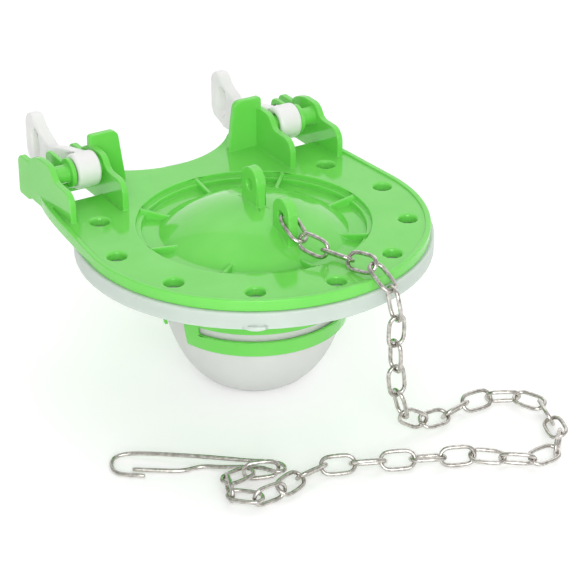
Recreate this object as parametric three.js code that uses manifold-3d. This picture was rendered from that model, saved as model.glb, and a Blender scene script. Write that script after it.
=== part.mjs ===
// A cistern flapper for a 3 inch flush valve: a green moulded frame with two hinge brackets,
// a silicone seal under its disc, a hollow float cup, two pivoting arms and a link chain with a clip.
// Millimetres. X runs along the hinge axis, +Y points from the disc to the hinge, Z is up.
// The origin lies on the disc's axis, on the flat bottom of the cup.

import * as THREE from 'three';
import { mergeVertices } from 'three/addons/utils/BufferGeometryUtils.js';
import Module from 'manifold-3d';

const wasm = await Module();
wasm.setup();

// Fits
const RUNNING_GAP = 0.3;
const SEATED_GAP = 0.3;
const CLAW_GAP = 0.4;

// Heights, from the bottom of the cup up
const CUP_BELOW_SEAL = 41.9;
const SEAL_THICKNESS = 4.9;
const PLATE_THICKNESS = 2.7;
const SEAL_FACE = CUP_BELOW_SEAL;
const PLATE_BOTTOM = SEAL_FACE + SEAL_THICKNESS;
const PLATE_TOP = PLATE_BOTTOM + PLATE_THICKNESS;

// Disc and wings
const DISC_RADIUS = 50;
const LIP_WIDTH = 1.6;
const LIP_HEIGHT = 0.6;
const WING_START_ANGLE = 4.5;
const WING_SHOULDER_Y = 24;
const WING_SHOULDER_X = 48.3;
const WING_BEND_Y = 38;
const WING_BEND_X = 47.15;
const WING_SIDE_Y = 44;
const WING_REAR = 57;
const WING_CORNER = 2.5;
const SCOOP_FRONT = 45;
const SCOOP_RADIUS = 30;
const DRAIN_HOLE_RADIUS = 2.6;
const DRAIN_HOLE_CIRCLE = 43.5;
const DRAIN_HOLE_COUNT = 9;
const DRAIN_HOLE_STEP = 30;
const DRAIN_HOLE_COUNTERSINK = 0.5;

// Recess, dome and the well that the seal is stretched over
const RECESS_RADIUS = 33.4;
const RECESS_DEPTH = 3;
const LEDGE_WIDTH = 1.5;
const LEDGE_DEPTH = 1.4;
const DOME_RADIUS = 27;
const DOME_HEIGHT = 9;
const SHELL = 2;
const WELL_WALL = 1.8;
const SEAL_WEB = 2.4;
const FLANGE_THICKNESS = 1.2;
const FLANGE_WIDTH = 2.4;
const GUSSET_COUNT = 8;
const GUSSET_THICKNESS = 1.2;
const GUSSET_INNER_RADIUS = 24;
const GUSSET_DROP = 1.4;

// Chain lugs on the dome
const LUG_THICKNESS = 3;
const LUG_LENGTH = 8.7;
const LUG_HOLE_RADIUS = 1.6;
const REAR_LUG_Y = 0;
const REAR_LUG_TOP = 16.6;
const FRONT_LUG_Y = -17;
const FRONT_LUG_TOP = 13.6;
const LUG_HOLE_BELOW_TOP = 5.2;

// Hinge brackets, each size on the +X side and mirrored to the other
const PIN_Y = 39.3;
const PIN_ABOVE_PLATE = 8.4;
const PIN_RADIUS = 2.7;
const BOSS_RADIUS = 4.4;
const CHEEK_THICKNESS = 1.9;
const INNER_CHEEK_X = 27;
const OUTER_CHEEK_X = 43.5;
const CHEEK_FRONT = 24.2;
const CHEEK_REAR = 59;
const CHEEK_HEIGHT = 8.8;
const CHEEK_NOSE = 4.2;
const CHEEK_CORNER = 2.6;
const CHEEK_FOOT = 1;
const CHEEK_FOOT_FRONT = 52;
const HUMP_LENGTH = 4;
const HUMP_REAR = 51;
const HUMP_SHOULDER = 3.2;
const RIB_X = 37.6;
const RIB_THICKNESS = 1.4;
const RIB_REAR = 53.5;
const RIB_HEIGHT = 10.7;
const RIB_CORNER = 2.5;
const FIN_FRONT = 44.4;
const FIN_THICKNESS = 2;
const FIN_HEIGHT = 15.7;
const FIN_BASE_X = 17.2;
const FIN_TOP_X = 19.4;
const FIN_CORNER = 2.4;
const WINDOW_FRONT = 38;
const WINDOW_REAR = 49;
const WINDOW_CORNER = 0.6;

// Arms that hook on the overflow tube's pegs
const RING_RADIUS = 5.2;
const RING_MOUTH = 4.4;
const RING_MOUTH_ANGLE = -62;
const ARM_INNER_X = 30.1;
const NECK_THICKNESS = 4;
const NECK_FRONT = 42.2;
const NECK_HEIGHT = 8;
const LOOP_REAR = 78.2;
const LOOP_RADIUS = 5;
const LOOP_TOP_RADIUS = 3.7;
const LOOP_TOP = 13.2;
const LOOP_BOTTOM = -4.3;
const NECK_TOP_LINE = [[69.8, 9.7], [66.1, 8.3], [63.4, 7], [61.8, 7], [55.7, 9.1], [50.2, 10.4]];
const PEG_SLOT_WIDTH = 5;
const PEG_SLOT_REAR_WALL = 4.2;
const PEG_SLOT_TOP = 8.8;
const PEG_SLOT_BOTTOM = -0.6;
const ARM_REST_HEIGHT = 0.4;

// Seal
const SEAL_OUTER_RADIUS = 51;
const SEAL_RIM_WIDTH = 9;
const SEAL_TAB_RADIUS = 4.2;
const SEAL_TAB_PROUD = 1.1;
const SEAL_TAB_THICKNESS = 1.4;
const SEAL_TAB_ANGLE = -120;

// Float cup and the two claws of the frame that hold it
const CUP_RADIUS = 27.4;
const CUP_WALL = 1.4;
const CUP_STRAIGHT = 2.2;
const CUP_CURVE_DEPTH = 44;
const CUP_POWER = 2.5;
const CUP_FLOOR = 2;
const BLEED_HOLE_RADIUS = 3;
const BLEED_HOLE_Y = 6.5;
const CLAW_THICKNESS = 1;
const CLAW_LENGTH = 24.4;
const CLAW_HALF_ANGLE = 76;
const SLOT_HALF_ANGLE = 65;
const SLOT_TOP = 16.9;
const SLOT_HEIGHT = 2.5;

// Chain and clip
const LINK_WIRE_RADIUS = 0.6;
const LINK_LENGTH = 10.9;
const LINK_WIDTH = 6.2;
const LINK_PITCH = 8.2;
const LINK_ROLLS = [
  0, 75, -35, 55, -5, 90, 0, 90, 0, 90, -75, 25, -50, 50, -60, 15, -60,
  20, 90, -20, 60, -10, -70, 20, -50, 40, -45, 45, -30, 90, 0, 90, 0, 90,
];
const STEEP_RUN = 0.7;
const BUNCHED_LINKS = 5;
const BUNCHED_PITCH = 7.1;
const CLIP_WIRE_RADIUS = 0.6;

// Roundness of the faceted solids
const ROUND_STEPS = 64;
const WIRE_SIDES = 6;

const DEGREE = Math.PI / 180;

// Turns a closed geometry into a solid for joining and cutting
function solid(geometry) {
  const bare = geometry.clone();
  bare.deleteAttribute('normal');
  bare.deleteAttribute('uv');
  const merged = mergeVertices(bare, 1e-4);
  return new wasm.Manifold(
    new wasm.Mesh({
      numProp: 3,
      vertProperties: new Float32Array(merged.attributes.position.array),
      triVerts: new Uint32Array(merged.index.array),
    }),
  );
}

function geometryOf(shape) {
  const mesh = shape.getMesh();
  const geometry = new THREE.BufferGeometry();
  geometry.setAttribute('position', new THREE.BufferAttribute(new Float32Array(mesh.vertProperties), 3));
  geometry.setIndex(new THREE.BufferAttribute(new Uint32Array(mesh.triVerts), 1));
  geometry.computeVertexNormals();
  return geometry;
}

function shapeOf(points) {
  return new THREE.Shape(points.map(([a, b]) => new THREE.Vector2(a, b)));
}

function extrude(shape, depth, curveSegments = 16) {
  return new THREE.ExtrudeGeometry(shape, { depth, bevelEnabled: false, curveSegments });
}

// A flat outline in X and Y, raised from one height to another
function upright(shape, from, to, curveSegments) {
  return solid(extrude(shape, to - from, curveSegments).translate(0, 0, from));
}

// An outline in Y and Z, drawn from one X to another
function across(shape, from, to) {
  const turn = new THREE.Matrix4().set(0, 0, 1, from, 1, 0, 0, 0, 0, 1, 0, 0, 0, 0, 0, 1);
  return solid(extrude(shape, to - from).applyMatrix4(turn));
}

// An outline in X and Z, drawn backwards from one Y to another
function along(shape, from, to) {
  const turn = new THREE.Matrix4().set(1, 0, 0, 0, 0, 0, -1, to, 0, 1, 0, 0, 0, 0, 0, 1);
  return solid(extrude(shape, to - from).applyMatrix4(turn));
}

// A closed profile of radius and height, turned round the disc's axis; it runs anticlockwise
function turned(profile, steps = ROUND_STEPS) {
  const points = profile.map(([radius, height]) => new THREE.Vector2(radius, height));
  points.push(points[0].clone());
  return solid(new THREE.LatheGeometry(points, steps).rotateX(Math.PI / 2));
}

function mirrored(shape) {
  return shape.mirror([1, 0, 0]);
}

function joined(...parts) {
  return parts.reduce((sum, part) => sum.add(part));
}

function arcPoints(x, y, radius, from, to, count) {
  const points = [];
  for (let step = 0; step <= count; step += 1) {
    const angle = (from + ((to - from) * step) / count) * DEGREE;
    points.push([x + radius * Math.cos(angle), y + radius * Math.sin(angle)]);
  }
  return points;
}

// A rounded corner between two points, drawn towards the corner and away from it
function bend(from, corner, to, count = 6) {
  const points = [];
  for (let step = 0; step <= count; step += 1) {
    const share = step / count;
    const weights = [(1 - share) ** 2, 2 * share * (1 - share), share ** 2];
    points.push([0, 1].map((axis) => weights[0] * from[axis] + weights[1] * corner[axis] + weights[2] * to[axis]));
  }
  return points;
}

function roundedBox(left, bottom, right, top, radius) {
  return [
    ...arcPoints(right - radius, bottom + radius, radius, -90, 0, 6),
    ...arcPoints(right - radius, top - radius, radius, 0, 90, 6),
    ...arcPoints(left + radius, top - radius, radius, 90, 180, 6),
    ...arcPoints(left + radius, bottom + radius, radius, 180, 270, 6),
  ];
}

// The disc with its wings and the scoop for the overflow tube; the sides and front shrink by inset
function plateOutline(inset) {
  const radius = DISC_RADIUS - inset;
  const half = OUTER_CHEEK_X + CHEEK_THICKNESS - inset;
  const scoopCentre = SCOOP_FRONT + SCOOP_RADIUS;
  const scoopReach = Math.sqrt(SCOOP_RADIUS ** 2 - (scoopCentre - WING_REAR) ** 2);
  const scoopAngle = Math.atan2(WING_REAR - scoopCentre, scoopReach) / DEGREE;
  const corner = WING_CORNER;
  const shoulder = [WING_SHOULDER_X - inset, WING_SHOULDER_Y];
  const side = bend(shoulder, [WING_BEND_X - inset, WING_BEND_Y], [half, WING_SIDE_Y]);
  const otherSide = side.map(([x, y]) => [-x, y]).reverse();
  return [
    ...arcPoints(0, 0, radius, -180 - WING_START_ANGLE, WING_START_ANGLE, ROUND_STEPS),
    ...side,
    ...arcPoints(half - corner, WING_REAR - corner, corner, 0, 90, 6),
    ...arcPoints(0, scoopCentre, SCOOP_RADIUS, scoopAngle, -180 - scoopAngle, 24),
    ...arcPoints(corner - half, WING_REAR - corner, corner, 90, 180, 6),
    ...otherSide,
  ];
}

// Height of the dome's outer surface above the plate's top face
const DOME_SPHERE = (DOME_RADIUS ** 2 + DOME_HEIGHT ** 2) / (2 * DOME_HEIGHT);
function domeHeight(radius, inset) {
  const centre = DOME_HEIGHT - RECESS_DEPTH - DOME_SPHERE;
  return centre + Math.sqrt((DOME_SPHERE - inset) ** 2 - radius ** 2);
}

const WELL_RADIUS = RECESS_RADIUS + WELL_WALL;
const FLOOR_BOTTOM = PLATE_TOP - RECESS_DEPTH - SHELL;
const FLANGE_TOP = PLATE_BOTTOM - SEAL_WEB - RUNNING_GAP;
const FLANGE_BOTTOM = FLANGE_TOP - FLANGE_THICKNESS;
const FLANGE_RADIUS = WELL_RADIUS + FLANGE_WIDTH;

// The recessed middle of the frame: the dome, the floor round it, the ledge and the well wall
function bowl() {
  const outer = [];
  const inner = [];
  const steps = 8;
  for (let step = 0; step <= steps; step += 1) {
    const radius = (DOME_RADIUS * step) / steps;
    outer.push([radius, PLATE_TOP + domeHeight(radius, 0)]);
    inner.push([radius * (1 - SHELL / DOME_RADIUS), PLATE_TOP + domeHeight(radius * (1 - SHELL / DOME_RADIUS), SHELL)]);
  }
  const ledge = RECESS_RADIUS - LEDGE_WIDTH;
  const profile = [
    ...inner.slice(0, -1),
    [DOME_RADIUS - SHELL, FLOOR_BOTTOM],
    [RECESS_RADIUS, FLOOR_BOTTOM],
    [RECESS_RADIUS, FLANGE_BOTTOM],
    [FLANGE_RADIUS, FLANGE_BOTTOM],
    [FLANGE_RADIUS, FLANGE_TOP],
    [WELL_RADIUS, FLANGE_TOP],
    [WELL_RADIUS, PLATE_TOP],
    [RECESS_RADIUS, PLATE_TOP],
    [RECESS_RADIUS, PLATE_TOP - LEDGE_DEPTH],
    [ledge, PLATE_TOP - LEDGE_DEPTH],
    [ledge, PLATE_TOP - RECESS_DEPTH],
    ...outer.reverse(),
  ];
  return turned(profile);
}

// Radius of the cup's outer surface, by its height above the cup's bottom
const CUP_RIM = FLOOR_BOTTOM - SEATED_GAP;
const CUP_CURVE_TOP = CUP_RIM - CUP_STRAIGHT;
function cupRadius(height) {
  const depth = Math.max(CUP_CURVE_TOP - height, 0) / CUP_CURVE_DEPTH;
  return CUP_RADIUS * (1 - depth ** CUP_POWER) ** (1 / CUP_POWER);
}

function cupSurface(offset, from, to, steps) {
  const points = [];
  for (let step = 0; step <= steps; step += 1) {
    const height = from + ((to - from) * step) / steps;
    points.push([cupRadius(height) + offset, height]);
  }
  return points;
}

function wedge(halfAngle, from, to) {
  const reach = 2 * DISC_RADIUS;
  const points = [[0, 0], ...arcPoints(0, 0, reach, -90 - halfAngle, halfAngle - 90, 12)];
  return upright(shapeOf(points), from, to);
}

// Two curved claws below the dome, one in front and one behind, each with a long slot
function claws() {
  const bottom = FLOOR_BOTTOM - CLAW_LENGTH;
  const inside = cupSurface(CLAW_GAP, bottom, FLOOR_BOTTOM, 5);
  const outside = cupSurface(CLAW_GAP + CLAW_THICKNESS, bottom, FLOOR_BOTTOM, 5);
  const ring = turned([...outside, ...inside.reverse()]);
  const front = ring.intersect(wedge(CLAW_HALF_ANGLE, bottom - 1, FLOOR_BOTTOM + 1));
  const slotTop = FLOOR_BOTTOM - SLOT_TOP;
  const slotted = front.subtract(wedge(SLOT_HALF_ANGLE, slotTop - SLOT_HEIGHT, slotTop));
  return slotted.add(slotted.mirror([0, 1, 0]));
}

function gussets() {
  const top = PLATE_TOP - SEATED_GAP;
  const floor = PLATE_TOP - RECESS_DEPTH;
  const profile = shapeOf([
    [GUSSET_INNER_RADIUS, floor - SHELL / 2],
    [RECESS_RADIUS + WELL_WALL / 2, floor - SHELL / 2],
    [RECESS_RADIUS + WELL_WALL / 2, top],
    [RECESS_RADIUS, top],
    [GUSSET_INNER_RADIUS, top - GUSSET_DROP],
  ]);
  const rib = along(profile, -GUSSET_THICKNESS / 2, GUSSET_THICKNESS / 2);
  const ribs = [];
  for (let index = 0; index < GUSSET_COUNT; index += 1) {
    ribs.push(rib.rotate([0, 0, (360 * index) / GUSSET_COUNT]));
  }
  return joined(...ribs);
}

function lug(centre, top) {
  const radius = LUG_LENGTH / 2;
  const root = PLATE_TOP + domeHeight(Math.abs(centre) + radius, SHELL / 2);
  const crown = PLATE_TOP + top - radius;
  const outline = shapeOf([
    [centre - radius, root],
    [centre + radius, root],
    ...arcPoints(centre, crown, radius, 0, 180, 16),
  ]);
  return across(outline, -LUG_THICKNESS / 2, LUG_THICKNESS / 2);
}

const LUG_HOLE_HEIGHT = PLATE_TOP + FRONT_LUG_TOP - LUG_HOLE_BELOW_TOP;

function lugs() {
  const holeDepth = LUG_THICKNESS;
  const hole = across(shapeOf(arcPoints(FRONT_LUG_Y, LUG_HOLE_HEIGHT, LUG_HOLE_RADIUS, 0, 345, 23)), -holeDepth, holeDepth);
  const rearHoleHeight = PLATE_TOP + REAR_LUG_TOP - LUG_HOLE_BELOW_TOP;
  const rearHole = across(shapeOf(arcPoints(REAR_LUG_Y, rearHoleHeight, LUG_HOLE_RADIUS, 0, 345, 23)), -holeDepth, holeDepth);
  const rear = lug(REAR_LUG_Y, REAR_LUG_TOP).subtract(rearHole);
  return lug(FRONT_LUG_Y, FRONT_LUG_TOP).subtract(hole).add(rear);
}

function drainHoles() {
  const holes = [];
  const middle = (DRAIN_HOLE_COUNT - 1) / 2;
  for (let index = 0; index < DRAIN_HOLE_COUNT; index += 1) {
    const angle = (-90 + (index - middle) * DRAIN_HOLE_STEP) * DEGREE;
    const profile = [
      [0, PLATE_BOTTOM - 1],
      [DRAIN_HOLE_RADIUS, PLATE_BOTTOM - 1],
      [DRAIN_HOLE_RADIUS, PLATE_TOP - DRAIN_HOLE_COUNTERSINK],
      [DRAIN_HOLE_RADIUS + 2 * DRAIN_HOLE_COUNTERSINK, PLATE_TOP + DRAIN_HOLE_COUNTERSINK],
      [0, PLATE_TOP + DRAIN_HOLE_COUNTERSINK],
    ];
    const hole = turned(profile, 24);
    holes.push(hole.translate([DRAIN_HOLE_CIRCLE * Math.cos(angle), DRAIN_HOLE_CIRCLE * Math.sin(angle), 0]));
  }
  return joined(...holes);
}

const PIN_HEIGHT = PLATE_TOP + PIN_ABOVE_PLATE;

// A cheek: a low wall with a round nose, a hump over the pin and a small foot at the back
function cheek(x) {
  const top = PLATE_TOP + CHEEK_HEIGHT;
  const crown = PIN_HEIGHT + BOSS_RADIUS;
  const outline = shapeOf([
    [CHEEK_FRONT, PLATE_BOTTOM],
    ...arcPoints(CHEEK_FOOT_FRONT + CHEEK_FOOT, PLATE_BOTTOM, CHEEK_FOOT, 180, 270, 3),
    ...arcPoints(CHEEK_REAR - CHEEK_FOOT, PLATE_BOTTOM, CHEEK_FOOT, -90, 0, 3),
    ...arcPoints(CHEEK_REAR - CHEEK_CORNER, top - CHEEK_CORNER, CHEEK_CORNER, 0, 90, 6),
    ...bend([HUMP_REAR, top], [HUMP_REAR - 0.8, PIN_HEIGHT + HUMP_SHOULDER], [PIN_Y + HUMP_LENGTH, crown]),
    ...arcPoints(PIN_Y, PIN_HEIGHT, BOSS_RADIUS, 90, 150, 5),
    ...bend([PIN_Y - 4, PIN_HEIGHT + 1.9], [PIN_Y - 4.9, top], [PIN_Y - 7.1, top], 4),
    ...arcPoints(CHEEK_FRONT + CHEEK_NOSE, top - CHEEK_NOSE, CHEEK_NOSE, 90, 180, 8),
  ]);
  return across(outline, x, x + CHEEK_THICKNESS);
}

// The rib beside the ring keeps it from sliding along the pin
function rib() {
  const underside = PIN_HEIGHT - PIN_RADIUS;
  const top = PLATE_TOP + RIB_HEIGHT;
  const collar = shapeOf(arcPoints(PIN_Y, PIN_HEIGHT, BOSS_RADIUS, 0, 345, 23));
  const web = shapeOf([
    [PIN_Y, underside],
    [WINDOW_REAR, underside],
    [WINDOW_REAR, PLATE_BOTTOM],
    [RIB_REAR, PLATE_BOTTOM],
    ...arcPoints(RIB_REAR - RIB_CORNER, top - RIB_CORNER, RIB_CORNER, 0, 90, 6),
    [PIN_Y, top],
  ]);
  const outer = RIB_X + RIB_THICKNESS;
  return across(collar, RIB_X, outer).add(across(web, RIB_X, outer));
}

function fin() {
  const outerX = INNER_CHEEK_X + CHEEK_THICKNESS;
  const top = PLATE_TOP + FIN_HEIGHT;
  const outline = shapeOf([
    [FIN_BASE_X, PLATE_BOTTOM],
    [outerX, PLATE_BOTTOM],
    ...arcPoints(outerX - 1, top - 1, 1, 0, 90, 4),
    ...arcPoints(FIN_TOP_X + FIN_CORNER, top - FIN_CORNER, FIN_CORNER, 90, 172, 6),
  ]);
  return along(outline, FIN_FRONT, FIN_FRONT + FIN_THICKNESS);
}

function pin() {
  const outline = shapeOf(arcPoints(PIN_Y, PIN_HEIGHT, PIN_RADIUS, 0, 345, 23));
  return across(outline, INNER_CHEEK_X, OUTER_CHEEK_X + CHEEK_THICKNESS);
}

function plateWindow() {
  const inner = INNER_CHEEK_X + CHEEK_THICKNESS;
  const outline = shapeOf(roundedBox(inner, WINDOW_FRONT, OUTER_CHEEK_X, WINDOW_REAR, WINDOW_CORNER));
  return upright(outline, PLATE_BOTTOM - 1, PLATE_TOP + 1);
}

function flapperFrame() {
  const low = PLATE_BOTTOM;
  const lipTop = PLATE_TOP + LIP_HEIGHT;
  const slab = upright(shapeOf(plateOutline(0)), low, lipTop);
  const basin = upright(shapeOf(plateOutline(LIP_WIDTH)), PLATE_TOP, lipTop + 1);
  const well = upright(shapeOf(arcPoints(0, 0, RECESS_RADIUS, 0, 360 - 360 / ROUND_STEPS, ROUND_STEPS - 1)), low - 1, lipTop + 1);
  const window = plateWindow();
  const plate = slab.subtract(basin).subtract(well).subtract(drainHoles());
  const openPlate = plate.subtract(window).subtract(mirrored(window));
  const bracket = joined(cheek(INNER_CHEEK_X), cheek(OUTER_CHEEK_X), rib(), fin(), pin());
  const middle = joined(bowl(), gussets(), lugs(), claws());
  return joined(openPlate, middle, bracket, mirrored(bracket));
}

// The middle line of the slot that the tube's peg sits in
function pegSlot() {
  const rear = LOOP_REAR - PEG_SLOT_REAR_WALL;
  const bottom = PLATE_TOP + PEG_SLOT_BOTTOM;
  const top = PLATE_TOP + PEG_SLOT_TOP;
  return shapeOf(roundedBox(rear - PEG_SLOT_WIDTH, bottom, rear, top, PEG_SLOT_WIDTH / 2));
}

// One arm: a ring on the pin, a neck over the plate's rear bar and a loop with a slot for the peg
function armSolid() {
  const neckOuter = ARM_INNER_X + NECK_THICKNESS;
  const ringOuter = RIB_X - RUNNING_GAP;
  const bore = PIN_RADIUS + RUNNING_GAP;
  const before = ARM_INNER_X - 1;
  const beyond = ringOuter + 1;
  const loopBottom = PLATE_TOP + LOOP_BOTTOM;
  const loopTop = PLATE_TOP + LOOP_TOP;
  const rest = PLATE_TOP + ARM_REST_HEIGHT;
  const outline = shapeOf([
    [NECK_FRONT, PIN_HEIGHT - NECK_HEIGHT / 2],
    [WINDOW_REAR, rest + 1],
    [WING_REAR, rest],
    [CHEEK_REAR + 1, rest - 1],
    ...arcPoints(LOOP_REAR - LOOP_RADIUS - 4, loopBottom + LOOP_RADIUS, LOOP_RADIUS, -110, -60, 4),
    ...arcPoints(LOOP_REAR - LOOP_RADIUS, loopBottom + LOOP_RADIUS + 1, LOOP_RADIUS, -50, 0, 6),
    ...arcPoints(LOOP_REAR - LOOP_TOP_RADIUS, loopTop - LOOP_TOP_RADIUS, LOOP_TOP_RADIUS, 0, 130, 10),
    ...NECK_TOP_LINE.map(([y, height]) => [y, PLATE_TOP + height]),
    [NECK_FRONT, PIN_HEIGHT + NECK_HEIGHT / 2],
  ]);
  const neck = across(outline, ARM_INNER_X, neckOuter);
  const ring = across(shapeOf(arcPoints(PIN_Y, PIN_HEIGHT, RING_RADIUS, 0, 350, 35)), ARM_INNER_X, ringOuter);
  const hole = across(shapeOf(arcPoints(PIN_Y, PIN_HEIGHT, bore, 0, 345, 23)), before, beyond);
  const half = RING_MOUTH / 2;
  const reach = 2 * RING_RADIUS;
  const cut = across(shapeOf([[0, -half], [reach, -half], [reach, half], [0, half]]), before, beyond);
  const mouth = cut.rotate([RING_MOUTH_ANGLE, 0, 0]).translate([0, PIN_Y, PIN_HEIGHT]);
  return ring.add(neck).subtract(across(pegSlot(), before, beyond)).subtract(hole).subtract(mouth);
}

function sealRing() {
  const inner = WELL_RADIUS + RUNNING_GAP;
  const rimInner = SEAL_OUTER_RADIUS - SEAL_RIM_WIDTH;
  const webBottom = PLATE_BOTTOM - SEAL_WEB;
  const ring = turned([
    [inner, webBottom],
    [rimInner, webBottom],
    [rimInner, SEAL_FACE],
    [SEAL_OUTER_RADIUS, SEAL_FACE],
    [SEAL_OUTER_RADIUS, PLATE_BOTTOM],
    [inner, PLATE_BOTTOM],
  ]);
  const tabCentre = SEAL_OUTER_RADIUS + SEAL_TAB_PROUD - SEAL_TAB_RADIUS;
  const tab = upright(shapeOf(arcPoints(0, 0, SEAL_TAB_RADIUS, 0, 345, 23)), SEAL_FACE, SEAL_FACE + SEAL_TAB_THICKNESS);
  const angle = SEAL_TAB_ANGLE * DEGREE;
  return ring.add(tab.translate([tabCentre * Math.cos(angle), tabCentre * Math.sin(angle), 0]));
}

function floatCup() {
  const outside = cupSurface(0, 0, CUP_RIM, 14);
  const inside = cupSurface(-CUP_WALL, CUP_FLOOR, CUP_RIM, 10);
  const shell = turned([[0, 0], ...outside, ...inside.reverse(), [0, CUP_FLOOR]]);
  const bleed = upright(shapeOf(arcPoints(0, BLEED_HOLE_Y, BLEED_HOLE_RADIUS, 0, 345, 23)), -1, CUP_FLOOR + 1);
  return shell.subtract(bleed);
}

function wireSection(radius) {
  return shapeOf(arcPoints(0, 0, radius, 0, 360 - 360 / WIRE_SIDES, WIRE_SIDES - 1));
}

// A link lies along X in its own frame, its width along Y
function linkGeometry() {
  const round = LINK_WIDTH / 2 - LINK_WIRE_RADIUS;
  const half = LINK_LENGTH / 2 - LINK_WIDTH / 2;
  const outline = [...arcPoints(half, 0, round, -90, 90, 6), ...arcPoints(-half, 0, round, 90, 270, 6)];
  const positions = [];
  const count = outline.length;
  for (let index = 0; index < count; index += 1) {
    const [x, y] = outline[index];
    const [beforeX, beforeY] = outline[(index + count - 1) % count];
    const [afterX, afterY] = outline[(index + 1) % count];
    const length = Math.hypot(afterX - beforeX, afterY - beforeY);
    const outX = (afterY - beforeY) / length;
    const outY = (beforeX - afterX) / length;
    for (let side = 0; side < WIRE_SIDES; side += 1) {
      const angle = (2 * Math.PI * side) / WIRE_SIDES;
      const out = LINK_WIRE_RADIUS * Math.cos(angle);
      positions.push(x + outX * out, y + outY * out, LINK_WIRE_RADIUS * Math.sin(angle));
    }
  }
  const faces = [];
  for (let index = 0; index < count; index += 1) {
    for (let side = 0; side < WIRE_SIDES; side += 1) {
      const a = index * WIRE_SIDES + side;
      const b = index * WIRE_SIDES + ((side + 1) % WIRE_SIDES);
      const c = ((index + 1) % count) * WIRE_SIDES + side;
      const d = ((index + 1) % count) * WIRE_SIDES + ((side + 1) % WIRE_SIDES);
      faces.push(a, d, b, a, c, d);
    }
  }
  const geometry = new THREE.BufferGeometry();
  geometry.setAttribute('position', new THREE.Float32BufferAttribute(positions, 3));
  geometry.setIndex(faces);
  geometry.computeVertexNormals();
  return geometry;
}

// The chain's route, from the front lug over the disc's edge and along the surface below
const CHAIN_ROUTE = [
  [0, -17.5, 57.9],
  [0.9, -24.6, 52.9],
  [4, -32.2, 52.2],
  [7, -40, 52.2],
  [9.4, -47.7, 53.1],
  [10.8, -54, 48.3],
  [11.2, -56, 40.9],
  [11.6, -55.2, 32.6],
  [12.3, -54.2, 20],
  [14.3, -54.3, 12.2],
  [16.6, -53.6, 5],
  [24.7, -54, 3.1],
  [31.5, -53.1, 3.1],
  [37.9, -51.3, 3.1],
  [46.3, -51.3, 3.1],
  [53.5, -54.7, 3.1],
  [57.4, -61, 3.1],
  [55.6, -67.8, 3.1],
  [52.6, -73.4, 3.1],
  [51.1, -79, 3.1],
  [45, -84.4, 3.1],
  [36.8, -84.7, 3.1],
  [30.4, -79.4, 3.1],
  [25.5, -74.8, 3.1],
  [21.2, -71.9, 3.1],
  [13.5, -70.2, 3.1],
  [6.2, -65.1, 3.1],
  [-1.1, -63.6, 3.1],
  [-8.4, -59, 3.1],
  [-15.6, -57.5, 3.1],
  [-24.4, -60.2, 3.2],
  [-28, -62, 3.3],
  [-32.4, -63.2, 3.3],
  [-37.6, -62, 3.2],
  [-41, -58, 3.2],
  [-41, -53, 3.2],
  [-37.4, -49.6, 3.2],
  [-32, -49.6, 3.2],
  [-20, -54, 3.2],
].map((place) => new THREE.Vector3(...place));

// The next place on the route that lies one pitch from the last one
function nextJoint(last, start, pitch) {
  for (let span = start; span < CHAIN_ROUTE.length - 1; span += 1) {
    const from = CHAIN_ROUTE[span];
    const step = CHAIN_ROUTE[span + 1].clone().sub(from);
    const offset = from.clone().sub(last);
    const a = step.lengthSq();
    const b = offset.dot(step);
    const c = offset.lengthSq() - pitch ** 2;
    const root = b * b - a * c;
    const share = root >= 0 ? (-b + Math.sqrt(root)) / a : -1;
    if (share >= 0 && share <= 1) {
      return { place: from.clone().addScaledVector(step, share), span };
    }
  }
  const end = CHAIN_ROUTE[CHAIN_ROUTE.length - 1];
  const before = CHAIN_ROUTE[CHAIN_ROUTE.length - 2];
  const on = end.clone().sub(before).normalize();
  return { place: last.clone().addScaledVector(on, pitch), span: CHAIN_ROUTE.length - 1 };
}

// Each link lies between two joints of the route; a roll of 0 lays it flat and a roll of 90 puts it on edge
function linkPlaces() {
  const places = [];
  let from = CHAIN_ROUTE[0];
  let span = 0;
  LINK_ROLLS.forEach((roll, index) => {
    const bunched = index >= LINK_ROLLS.length - BUNCHED_LINKS;
    const next = nextJoint(from, span, bunched ? BUNCHED_PITCH : LINK_PITCH);
    const along = next.place.clone().sub(from).normalize();
    const steep = Math.abs(along.z) > STEEP_RUN;
    const across = steep ? new THREE.Vector3(1, 0, 0) : new THREE.Vector3(0, 0, 1).cross(along);
    across.addScaledVector(along, -across.dot(along)).normalize();
    const turn = new THREE.Matrix4().makeBasis(along, across, along.clone().cross(across));
    turn.multiply(new THREE.Matrix4().makeRotationX(roll * DEGREE));
    turn.setPosition(from.clone().add(next.place).multiplyScalar(0.5));
    places.push(turn);
    from = next.place;
    span = next.span;
  });
  return places;
}

// The clip is one bent wire: its tongue, the eye on the last link, the long back and the turned hook
const CLIP_ROUTE = [
  [-56, -29.6, 0.9],
  [-52.6, -32, 0.9],
  [-44.6, -37.2, 0.9],
  [-39.6, -38, 0.9],
  [-34.6, -42.6, 1.6],
  [-30.2, -47, 2.6],
  [-27.2, -50.6, 3.2],
  [-26, -53, 3.2],
  [-24.4, -54.6, 3.2],
  [-22.5, -54.3, 3.2],
  [-21.8, -52, 3.2],
  [-24, -48.8, 3.2],
  [-28, -45.4, 3],
  [-39.8, -35.3, 2.9],
  [-54.4, -22.4, 1.4],
  [-57.6, -21.8, 0.9],
  [-60.2, -25.4, 0.9],
  [-60.4, -29, 0.9],
  [-54.6, -34.2, 0.9],
].map((place) => new THREE.Vector3(...place));

function clipGeometry() {
  const section = wireSection(CLIP_WIRE_RADIUS);
  const path = new THREE.CatmullRomCurve3(CLIP_ROUTE, false, 'centripetal');
  return new THREE.ExtrudeGeometry(section, { steps: 64, extrudePath: path, bevelEnabled: false });
}

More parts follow.
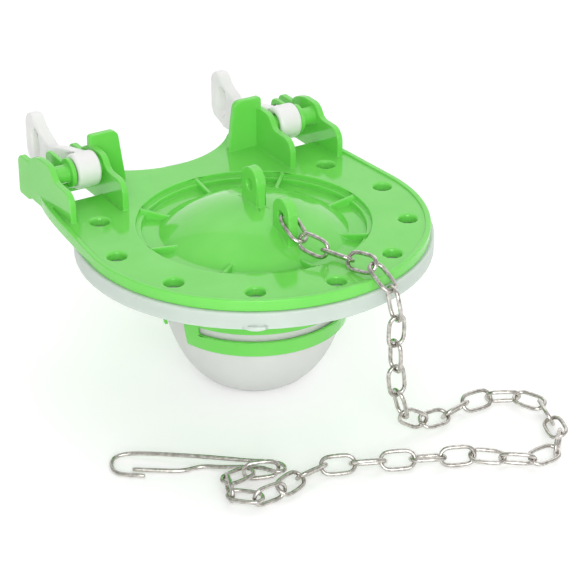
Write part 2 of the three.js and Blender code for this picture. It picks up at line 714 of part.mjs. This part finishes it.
const greenPolypropylene = new THREE.MeshStandardMaterial({ color: 0x52cf46, roughness: 0.25 });
const paleSilicone = new THREE.MeshStandardMaterial({ color: 0xd6e2db, roughness: 0.45 });
const naturalPolyethylene = new THREE.MeshStandardMaterial({ color: 0xd2d4ce, roughness: 0.4 });
const whiteNylon = new THREE.MeshStandardMaterial({ color: 0xe8e6e4, roughness: 0.35 });
const stainlessWire = new THREE.MeshStandardMaterial({ color: 0xa49c92, roughness: 0.25, metalness: 1 });

const flapper = new THREE.Group();

function place(name, geometry, material) {
  const mesh = new THREE.Mesh(geometry, material);
  mesh.name = name;
  flapper.add(mesh);
  return mesh;
}

place('flapper_frame', geometryOf(flapperFrame()), greenPolypropylene);
place('seal_ring', geometryOf(sealRing()), paleSilicone);
place('float_cup', geometryOf(floatCup()), naturalPolyethylene);
place('right_arm', geometryOf(armSolid()), whiteNylon);
place('left_arm', geometryOf(mirrored(armSolid())), whiteNylon);

linkPlaces().forEach((turn, index) => {
  const name = `chain_link_${String(index + 1).padStart(2, '0')}`;
  place(name, linkGeometry(), stainlessWire).applyMatrix4(turn);
});

place('chain_clip', clipGeometry(), stainlessWire);

export default flapper;
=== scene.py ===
"""A cistern flapper on a white table: a green frame, a silicone seal, a float cup, two arms and a chain."""

import math

import bpy
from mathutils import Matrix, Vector


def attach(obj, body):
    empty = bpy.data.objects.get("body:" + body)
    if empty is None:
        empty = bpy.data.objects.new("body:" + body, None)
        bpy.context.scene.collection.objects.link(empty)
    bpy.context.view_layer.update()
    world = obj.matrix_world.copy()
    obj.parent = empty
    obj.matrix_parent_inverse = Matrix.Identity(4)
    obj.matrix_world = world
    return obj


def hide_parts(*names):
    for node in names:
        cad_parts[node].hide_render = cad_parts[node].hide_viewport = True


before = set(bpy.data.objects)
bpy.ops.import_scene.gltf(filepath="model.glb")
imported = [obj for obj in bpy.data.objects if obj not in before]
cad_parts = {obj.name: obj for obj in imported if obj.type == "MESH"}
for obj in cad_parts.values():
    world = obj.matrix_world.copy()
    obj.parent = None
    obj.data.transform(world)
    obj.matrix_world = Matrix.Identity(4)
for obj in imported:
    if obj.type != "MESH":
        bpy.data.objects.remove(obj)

MM = 0.001


# The camera looks from the front left and a little above, through a long lens

TARGET = Vector((1.5, -16.0, 34.5)) * MM
AZIMUTH = math.radians(-31.37)
ELEVATION = math.radians(27.61)
DISTANCE = 583.3 * MM
FOCAL_LENGTH = 130.0
SENSOR_WIDTH = 36.0


def set_camera():
    flat = math.cos(ELEVATION)
    back = Vector((math.sin(AZIMUTH) * flat, -math.cos(AZIMUTH) * flat, math.sin(ELEVATION)))
    data = bpy.data.cameras.new("camera")
    data.lens = FOCAL_LENGTH
    data.sensor_width = SENSOR_WIDTH
    camera = bpy.data.objects.new("camera", data)
    bpy.context.collection.objects.link(camera)
    camera.location = TARGET + back * DISTANCE
    camera.rotation_mode = "QUATERNION"
    camera.rotation_quaternion = back.to_track_quat("Z", "Y")
    bpy.context.scene.camera = camera


set_camera()


# The frame is one glossy moulding in green polypropylene: the disc with its lip and drain holes,
# the ribbed recess with the dome and the chain lugs, the two hinge brackets, and the claws below.
# Its edges are as sharp as an injection mould leaves them, and its skin is slightly wavy.

FRAME_EDGE = 0.32 * MM
FRAME_LIGHT = "79db5f"
FRAME_DARK = "6ed554"
FRAME_ROUGHNESS = 0.1
FRAME_RIPPLE = 0.04
FRAME_GLOW = 0.25
FRAME_GLOW_DEPTH = 1.5 * MM
TINT_GRAIN = 60.0
GLOSS_GRAIN = 220.0
WAVE_GRAIN = 90.0
WAVE_HEIGHT = 0.4 * MM
MERGE_DISTANCE = 0.002 * MM
FLAT = math.radians(0.3)
SHARP = math.radians(32)


def linear(colour):
    """A screen colour, written as six hex digits, as linear light with full alpha."""
    shares = [int(colour[start : start + 2], 16) / 255 for start in (0, 2, 4)]
    return [((c + 0.055) / 1.055) ** 2.4 if c > 0.04045 else c / 12.92 for c in shares] + [1.0]


def new_material(name):
    """A new node material; returns it with its tree and its shader."""
    material = bpy.data.materials.new(name)
    material.use_nodes = True
    tree = material.node_tree
    return material, tree, tree.nodes["Principled BSDF"]


def add(tree, kind, inputs=None, **settings):
    """Adds a node, sets its properties, and sets or links each named input."""
    node = tree.nodes.new(kind)
    for key, value in settings.items():
        setattr(node, key, value)
    for key, value in (inputs or {}).items():
        if isinstance(value, bpy.types.NodeSocket):
            tree.links.new(value, node.inputs[key])
        else:
            node.inputs[key].default_value = value
    return node


def object_noise(tree, scale, detail=3.0):
    """Noise in the piece's own place, at so many features to a metre."""
    place = add(tree, "ShaderNodeTexCoord")
    inputs = {"Vector": place.outputs["Object"], "Scale": scale, "Detail": detail}
    return add(tree, "ShaderNodeTexNoise", inputs)


def two_tones(tree, noise, dark, light):
    """A colour that drifts between a darker and a lighter tone as the noise does."""
    node = add(tree, "ShaderNodeValToRGB", {"Fac": noise.outputs["Fac"]})
    tones = zip(node.color_ramp.elements, (0.3, 0.7), (dark, light))
    for element, position, colour in tones:
        element.position = position
        element.color = linear(colour)
    return node


def span(tree, value, low, high):
    """A value from 0 to 1 stretched between two others."""
    return add(tree, "ShaderNodeMapRange", {"Value": value, "To Min": low, "To Max": high})


def moulded(name, light, dark, roughness, ripple):
    """A moulded plastic: a faintly uneven colour and gloss, and the soft waves of a cooled skin."""
    material, tree, shader = new_material(name)
    tint = two_tones(tree, object_noise(tree, TINT_GRAIN), dark, light)
    cloud = object_noise(tree, GLOSS_GRAIN)
    gloss = span(tree, cloud.outputs["Fac"], roughness * 0.8, roughness * 1.25)
    waves = object_noise(tree, WAVE_GRAIN, 2.0)
    inputs = {"Height": waves.outputs["Fac"], "Strength": ripple, "Distance": WAVE_HEIGHT}
    bump = add(tree, "ShaderNodeBump", inputs)
    tree.links.new(tint.outputs["Color"], shader.inputs["Base Color"])
    tree.links.new(gloss.outputs["Result"], shader.inputs["Roughness"])
    tree.links.new(bump.outputs["Normal"], shader.inputs["Normal"])
    return material, tree, shader


def let_light_in(shader, weight, depth):
    """Light that enters the plastic comes out again a little way off, by up to the depth."""
    shader.inputs["Subsurface Weight"].default_value = weight
    shader.inputs["Subsurface Radius"].default_value = (1.0, 1.0, 1.0)
    shader.inputs["Subsurface Scale"].default_value = depth


def select_only(piece):
    bpy.ops.object.select_all(action="DESELECT")
    bpy.context.view_layer.objects.active = piece
    piece.select_set(True)


def solid_copy(node, name):
    """A new piece with the solid's shape and its loose triangles merged, all selected in edit mode."""
    piece = bpy.data.objects.new(name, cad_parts[node].data.copy())
    piece.data.materials.clear()
    bpy.context.collection.objects.link(piece)
    select_only(piece)
    bpy.ops.object.mode_set(mode="EDIT")
    bpy.ops.mesh.select_all(action="SELECT")
    bpy.ops.mesh.remove_doubles(threshold=MERGE_DISTANCE)
    return piece


def finish_piece(piece, node, body, material):
    """Gives the piece its material and its place on a body, and hides the solid that it stands for."""
    piece.data.materials.append(material)
    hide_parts(node)
    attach(piece, body)


def moulded_piece(node, name, edge, body, material):
    """A moulding with rounded edges. Slivers go first, so that flat faces stay flat in the light."""
    piece = solid_copy(node, name)
    bpy.ops.mesh.beautify_fill(angle_limit=FLAT)
    bpy.ops.object.mode_set(mode="OBJECT")
    bevel = piece.modifiers.new("edge", "BEVEL")
    bevel.width = edge
    bevel.segments = 3
    bevel.limit_method = "ANGLE"
    bevel.angle_limit = SHARP
    bevel.use_clamp_overlap = False
    bevel.loop_slide = False
    bevel.miter_outer = "MITER_ARC"
    bpy.ops.object.modifier_apply(modifier="edge")
    bpy.ops.object.shade_smooth_by_angle(angle=SHARP)
    shading = piece.modifiers.new("shading", "WEIGHTED_NORMAL")
    shading.keep_sharp = True
    bpy.ops.object.modifier_apply(modifier="shading")
    finish_piece(piece, node, body, material)


def green_polypropylene():
    name = "green polypropylene"
    material, _, shader = moulded(name, FRAME_LIGHT, FRAME_DARK, FRAME_ROUGHNESS, FRAME_RIPPLE)
    let_light_in(shader, FRAME_GLOW, FRAME_GLOW_DEPTH)
    return material


moulded_piece("flapper_frame", "frame_moulding", FRAME_EDGE, "frame", green_polypropylene())


# The seal is a ring of pale, satin silicone with a thick rim.
# It is stretched over the well wall under the disc, and a small tab helps to pull it off.

SEAL_EDGE = 0.5 * MM
SEAL_LIGHT = "cbd7ce"
SEAL_DARK = "c3cfc6"
SEAL_ROUGHNESS = 0.42
SEAL_RIPPLE = 0.1
SEAL_GLOW = 0.6
SEAL_GLOW_DEPTH = 4.0 * MM


def pale_silicone():
    material, _, shader = moulded("pale silicone", SEAL_LIGHT, SEAL_DARK, SEAL_ROUGHNESS, SEAL_RIPPLE)
    let_light_in(shader, SEAL_GLOW, SEAL_GLOW_DEPTH)
    return material


moulded_piece("seal_ring", "seal", SEAL_EDGE, "frame", pale_silicone())


# The float is a thin, open cup in natural polyethylene, milky enough for light to come through.
# It is pushed between the frame's two claws and holds the air that floats the flapper.

CUP_EDGE = 0.45 * MM
CUP_LIGHT = "f3f4f2"
CUP_DARK = "ecedeb"
CUP_ROUGHNESS = 0.3
CUP_RIPPLE = 0.15
CUP_THROUGH = 0.15
CUP_THROUGH_COLOUR = "f6f7f5"
CUP_CLEAR = 0.12
CUP_CLEAR_COLOUR = "f8f9f7"


def natural_polyethylene():
    """A skin that is mostly milk, partly lit from the other side, and a little of it clear."""
    name = "natural polyethylene"
    material, tree, shader = moulded(name, CUP_LIGHT, CUP_DARK, CUP_ROUGHNESS, CUP_RIPPLE)
    output = tree.nodes["Material Output"]
    through = add(tree, "ShaderNodeBsdfTranslucent", {"Color": linear(CUP_THROUGH_COLOUR)})
    clear = add(tree, "ShaderNodeBsdfTransparent", {"Color": linear(CUP_CLEAR_COLOUR)})
    milk = {0: CUP_THROUGH, 1: shader.outputs["BSDF"], 2: through.outputs["BSDF"]}
    milky = add(tree, "ShaderNodeMixShader", milk)
    skin = {0: CUP_CLEAR, 1: milky.outputs["Shader"], 2: clear.outputs["BSDF"]}
    cup = add(tree, "ShaderNodeMixShader", skin)
    tree.links.new(cup.outputs["Shader"], output.inputs["Surface"])
    return material


moulded_piece("float_cup", "float", CUP_EDGE, "frame", natural_polyethylene())


# The two arms are soft-edged mouldings in white nylon.
# Each snaps with an open ring over the frame's pin, and its loop hooks over a peg of the tube.

ARM_EDGE = 0.9 * MM
ARM_LIGHT = "efeeed"
ARM_DARK = "ebeae9"
ARM_ROUGHNESS = 0.3
ARM_RIPPLE = 0.08
ARM_GLOW = 0.5
ARM_GLOW_DEPTH = 2.0 * MM


def white_nylon():
    material, _, shader = moulded("white nylon", ARM_LIGHT, ARM_DARK, ARM_ROUGHNESS, ARM_RIPPLE)
    let_light_in(shader, ARM_GLOW, ARM_GLOW_DEPTH)
    return material


arm_nylon = white_nylon()
for side in ("left", "right"):
    moulded_piece(f"{side}_arm", f"{side}_arm_moulding", ARM_EDGE, f"{side}_arm", arm_nylon)


# The chain and its clip are bent from round stainless wire, polished by the drawing.
# The first link passes through the front lug, and the clip's eye holds the last one.

WIRE_SWELL = 0.12 * MM
WIRE_LIGHT = "dfdbd5"
WIRE_DARK = "a6a29c"
WIRE_GRAIN = 900.0
WIRE_SMOOTHEST = 0.14
WIRE_ROUGHEST = 0.3


def stainless_wire():
    """Drawn steel in a light grey, with fine darker and duller flecks."""
    material, tree, shader = new_material("stainless wire")
    grain = object_noise(tree, WIRE_GRAIN)
    tint = two_tones(tree, grain, WIRE_DARK, WIRE_LIGHT)
    gloss = span(tree, grain.outputs["Fac"], WIRE_SMOOTHEST, WIRE_ROUGHEST)
    tree.links.new(tint.outputs["Color"], shader.inputs["Base Color"])
    tree.links.new(gloss.outputs["Result"], shader.inputs["Roughness"])
    shader.inputs["Metallic"].default_value = 1.0
    return material


def wire_piece(node, name, material):
    """A bent wire. Its six-sided section is swollen a little, because rounding it takes some away."""
    piece = solid_copy(node, name)
    bpy.ops.mesh.tris_convert_to_quads(face_threshold=math.pi, shape_threshold=math.pi)
    bpy.ops.transform.shrink_fatten(value=WIRE_SWELL)
    bpy.ops.object.mode_set(mode="OBJECT")
    rounding = piece.modifiers.new("round", "SUBSURF")
    rounding.levels = 2
    rounding.render_levels = 2
    bpy.ops.object.modifier_apply(modifier="round")
    bpy.ops.object.shade_smooth()
    finish_piece(piece, node, "frame", material)


steel = stainless_wire()
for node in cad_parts:
    if node.startswith("chain_link"):
        wire_piece(node, node.replace("chain_", ""), steel)
wire_piece("chain_clip", "clip", steel)


# The table is matt white card. It shines a little to the camera and in mirrors, but lights nothing,
# so it is white in the open and still keeps the soft shadow of the part.

TABLE_SIZE = 6.0
TABLE_LIGHT = "fdfdfd"
TABLE_DARK = "fafafa"
TABLE_GRAIN = 3.0
TABLE_ROUGHNESS = 0.9
TABLE_LIFT = 0.2


def white_card():
    material, tree, shader = new_material("white card")
    tint = two_tones(tree, object_noise(tree, TABLE_GRAIN), TABLE_DARK, TABLE_LIGHT)
    tree.links.new(tint.outputs["Color"], shader.inputs["Base Color"])
    shader.inputs["Roughness"].default_value = TABLE_ROUGHNESS
    shader.inputs["Specular IOR Level"].default_value = 0.0
    shader.inputs["Emission Color"].default_value = linear("ffffff")
    rays = add(tree, "ShaderNodeLightPath")
    seen = rays.outputs["Is Camera Ray"]
    for kind in ("Is Glossy Ray", "Is Transmission Ray"):
        larger = add(tree, "ShaderNodeMath", {0: seen, 1: rays.outputs[kind]}, operation="MAXIMUM")
        seen = larger.outputs["Value"]
    lift = span(tree, seen, 0.0, TABLE_LIFT)
    tree.links.new(lift.outputs["Result"], shader.inputs["Emission Strength"])
    return material


bpy.ops.object.select_all(action="DESELECT")
bpy.ops.mesh.primitive_plane_add(size=TABLE_SIZE)
table = bpy.context.active_object
table.name = "table"
table.data.materials.append(white_card())


# The light is a white room with two softboxes and a broad panel behind, which the disc mirrors.
# The panel is brightest in the middle, so it is made of discs of growing size over one another.

ROOM_STRENGTH = 0.58
PANEL_PLACE = (0.7, 0.75, 0.42)
PANEL_TARGET = (0, 0, 0.05)
PANEL_SIZES = (1.1, 1.5, 1.9, 2.5)
PANEL_POWER = 1.35
SOFTBOX_TARGET = (0, 0, 0.04)
TOP_PLACE = (0.25, 0.2, 0.9)
TOP_SIZE = 1.2
TOP_POWER = 1.0
FRONT_PLACE = (-0.35, -0.75, 0.38)
FRONT_SIZE = 0.6
FRONT_POWER = 4.3


def area_light(name, place, target, size, power):
    """A round lamp at a place, turned towards a target. Sizes are in metres and power in watts."""
    data = bpy.data.lights.new(name, "AREA")
    data.shape = "DISK"
    data.size = size
    data.energy = power
    lamp = bpy.data.objects.new(name, data)
    bpy.context.collection.objects.link(lamp)
    lamp.location = place
    lamp.rotation_mode = "QUATERNION"
    lamp.rotation_quaternion = (Vector(place) - Vector(target)).to_track_quat("Z", "Y")


room = bpy.data.worlds.new("white room")
room.use_nodes = True
background = room.node_tree.nodes["Background"]
background.inputs["Color"].default_value = linear("ffffff")
background.inputs["Strength"].default_value = ROOM_STRENGTH
bpy.context.scene.world = room

for size in PANEL_SIZES:
    area_light("back panel", PANEL_PLACE, PANEL_TARGET, size, PANEL_POWER * size**2)
area_light("top softbox", TOP_PLACE, SOFTBOX_TARGET, TOP_SIZE, TOP_POWER)
area_light("front softbox", FRONT_PLACE, SOFTBOX_TARGET, FRONT_SIZE, FRONT_POWER)

bpy.context.scene.view_settings.view_transform = "Standard"
